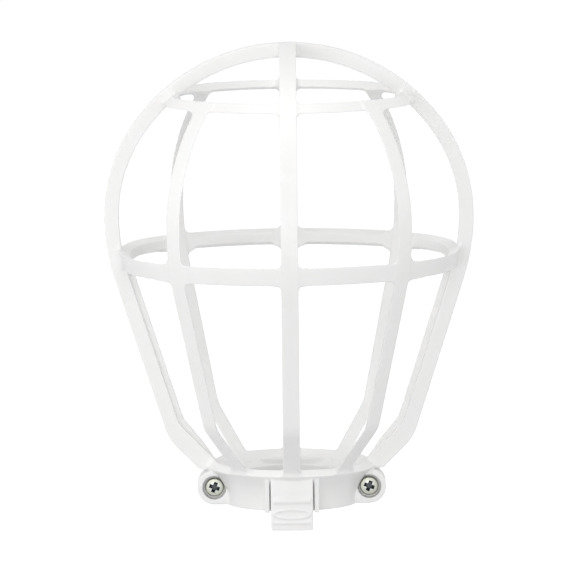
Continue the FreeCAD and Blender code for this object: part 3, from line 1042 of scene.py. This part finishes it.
class CAGEGUARD_OT_half_shells(bpy.types.Operator):
    """Round the edges of the two moulded halves and give them their plastic"""

    bl_idname = "cageguard.half_shells"
    bl_label = "Mould the Half Shells"

    def execute(self, context):
        plastic = settings()[0]
        material = plastic_material(plastic)
        for node in HALVES:
            piece = rounded_half(node, plastic)
            piece.data.materials.clear()
            piece.data.materials.append(material)
            seat_piece(piece, node)
        return {"FINISHED"}


class CAGEGUARD_OT_clamp_screws(bpy.types.Operator):
    """Turn the clamp screws, with their cross recesses and threads"""

    bl_idname = "cageguard.clamp_screws"
    bl_label = "Turn the Screws"

    def execute(self, context):
        steel = settings()[1]
        for node in SCREWS:
            seat_piece(finished_screw(node, steel), node)
        return {"FINISHED"}


class CAGEGUARD_OT_clamp_nuts(bpy.types.Operator):
    """Form the hexagon nuts in the rear lugs"""

    bl_idname = "cageguard.clamp_nuts"
    bl_label = "Form the Nuts"

    def execute(self, context):
        steel = settings()[1]
        for node in NUTS:
            seat_piece(finished_nut(node, steel), node)
        return {"FINISHED"}


# Stage

def floor_material(stage):
    """Pale floor that lights the object as a matt floor does and shows white to the camera."""
    material = bpy.data.materials.new("studio_floor")
    material.use_nodes = True
    tree = material.node_tree
    tree.nodes.clear()
    output = tree.nodes.new("ShaderNodeOutputMaterial")
    matt = add(tree, "ShaderNodeBsdfDiffuse", values={"Color": (*stage.floor_colour, 1.0)})
    glow = add(tree, "ShaderNodeEmission")
    lift = add(tree, "ShaderNodeMath", operation="MULTIPLY", values={1: stage.floor_lift})
    both = tree.nodes.new("ShaderNodeAddShader")
    tree.links.new(seen_directly(tree), lift.inputs[0])
    tree.links.new(lift.outputs[0], glow.inputs["Strength"])
    tree.links.new(matt.outputs[0], both.inputs[0])
    tree.links.new(glow.outputs[0], both.inputs[1])
    tree.links.new(both.outputs[0], output.inputs["Surface"])
    return material


def seen_directly(tree):
    """1 for what the camera sees, straight, mirrored or through glass, and 0 for other light."""
    path = tree.nodes.new("ShaderNodeLightPath")
    mirror = add(tree, "ShaderNodeMath", operation="MAXIMUM")
    tree.links.new(path.outputs["Is Camera Ray"], mirror.inputs[0])
    tree.links.new(path.outputs["Is Glossy Ray"], mirror.inputs[1])
    glass = add(tree, "ShaderNodeMath", operation="MAXIMUM")
    tree.links.new(mirror.outputs[0], glass.inputs[0])
    tree.links.new(path.outputs["Is Transmission Ray"], glass.inputs[1])
    return glass.outputs[0]


def studio_world(ambient):
    """White surround that lights the object at a plain level."""
    world = bpy.data.worlds.new("studio_surround")
    world.use_nodes = True
    tree = world.node_tree
    levels = {FLOAT_A: ambient, FLOAT_B: 1.0}
    strength = add(tree, "ShaderNodeMix", data_type="FLOAT", values=levels)
    tree.links.new(seen_directly(tree), strength.inputs[MIX_FACTOR])
    back = tree.nodes["Background"]
    back.inputs["Color"].default_value = (1.0, 1.0, 1.0, 1.0)
    tree.links.new(strength.outputs[FLOAT_OUT], back.inputs["Strength"])
    bpy.context.scene.world = world


def softbox(name, place_at, aim, side, power):
    """Square lamp that faces a point."""
    lamp = bpy.data.lights.new(name, "AREA")
    lamp.size = side
    lamp.energy = power
    holder = bpy.data.objects.new(name, lamp)
    holder.location = place_at
    holder.rotation_euler = (Vector(aim) - Vector(place_at)).to_track_quat("-Z", "Y").to_euler()
    bpy.context.scene.collection.objects.link(holder)


def photo_camera(stage):
    """Long-lens camera at the photograph's angle."""
    back = Vector((0.0, -math.cos(stage.elevation), math.sin(stage.elevation)))
    level_right = Vector((1.0, 0.0, 0.0))
    level_up = back.cross(level_right)
    up = level_up * math.cos(stage.roll) + level_right * math.sin(stage.roll)
    right = up.cross(back)
    target = Vector((0.0, 0.0, stage.target_height))
    aim = target - right * stage.target_right - up * stage.target_up
    data = bpy.data.cameras.new("photo_camera")
    data.lens = data.sensor_width * stage.distance / stage.view_width
    data.clip_end = FAR * stage.distance
    camera = bpy.data.objects.new("photo_camera", data)
    turned = Matrix((right, up, back)).transposed()
    camera.matrix_world = Matrix.Translation(aim + back * stage.distance) @ turned.to_4x4()
    bpy.context.scene.collection.objects.link(camera)
    bpy.context.scene.camera = camera


class CAGEGUARD_OT_stage(bpy.types.Operator):
    """Set the floor, surround, lamps and camera"""

    bl_idname = "cageguard.stage"
    bl_label = "Set the Stage"

    def execute(self, context):
        stage = settings()[2]
        level = (0.0, 0.0, -stage.floor_drop)
        bpy.ops.mesh.primitive_plane_add(size=FAR * stage.distance, location=level)
        floor = context.object
        floor.name = "studio_floor"
        floor.data.materials.append(floor_material(stage))
        studio_world(stage.ambient)
        middle = (0.0, 0.0, stage.target_height)
        for name, place_at, side in SOFTBOXES:
            softbox(name + "_softbox", place_at, middle, side, getattr(stage, name + "_power"))
        photo_camera(stage)
        context.scene.view_settings.view_transform = "Standard"
        return {"FINISHED"}


class CAGEGUARD_PT_panel(bpy.types.Panel):
    """Sidebar list of the guard's steps and settings"""

    bl_idname = "CAGEGUARD_PT_panel"
    bl_label = "Bulb Cage Guard"
    bl_space_type = "VIEW_3D"
    bl_region_type = "UI"
    bl_category = "Cage Guard"

    def draw(self, context):
        layout = self.layout
        for operator in OPERATORS:
            layout.operator(operator.bl_idname)
        for group in settings():
            box = layout.box()
            for name in group.__annotations__:
                box.prop(group, name)


SETTINGS = {
    "cage_plastic": CagePlasticSettings,
    "clamp_steel": ClampSteelSettings,
    "cage_stage": CageStageSettings,
}
OPERATORS = (
    CAGEGUARD_OT_half_shells,
    CAGEGUARD_OT_clamp_screws,
    CAGEGUARD_OT_clamp_nuts,
    CAGEGUARD_OT_stage,
)
CLASSES = (*SETTINGS.values(), *OPERATORS, CAGEGUARD_PT_panel)


def register():
    for cls in CLASSES:
        bpy.utils.register_class(cls)
    for name, cls in SETTINGS.items():
        setattr(bpy.types.Scene, name, PointerProperty(type=cls))


def unregister():
    for name in SETTINGS:
        delattr(bpy.types.Scene, name)
    for cls in reversed(CLASSES):
        bpy.utils.unregister_class(cls)


def main():
    register()
    bpy.ops.cageguard.half_shells()
    bpy.ops.cageguard.clamp_screws()
    bpy.ops.cageguard.clamp_nuts()
    bpy.ops.cageguard.stage()


if __name__ == "__main__":
    main()
